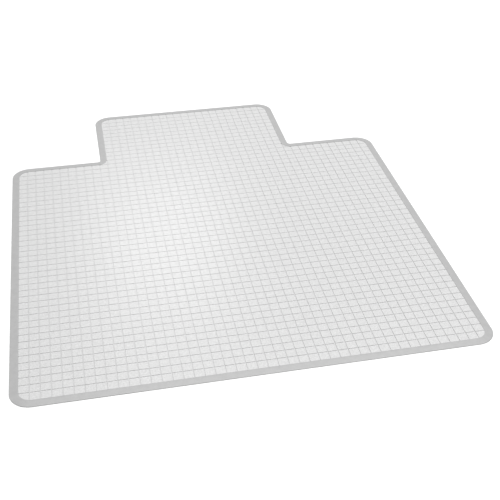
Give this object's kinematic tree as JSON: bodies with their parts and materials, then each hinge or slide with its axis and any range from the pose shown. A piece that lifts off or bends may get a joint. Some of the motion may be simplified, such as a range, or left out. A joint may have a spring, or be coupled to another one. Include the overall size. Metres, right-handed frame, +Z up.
{
  "type": "chair mat",
  "caption": "Clear vinyl floor mat for an office chair: a flat sheet with a textured grid of squares, a smooth bevelled border and a lip that reaches under the desk.",
  "frame": {"origin": "on the floor, at the centre of the mat's box", "axes": "+X to the sitter's right, +Y from the sitter towards the desk and the lip, +Z up"},
  "size_m": [1.143, 1.346, 0.0029],
  "materials": {
    "field": "frosted clear vinyl, finely stippled squares between shallow channels",
    "border": "smooth clear vinyl, satin, reads as light grey"
  },
  "bodies": {
    "root": {"body_panel": "field", "lip_panel": "field", "body_border": "border", "lip_border": "border"}
  },
  "joints": []
}
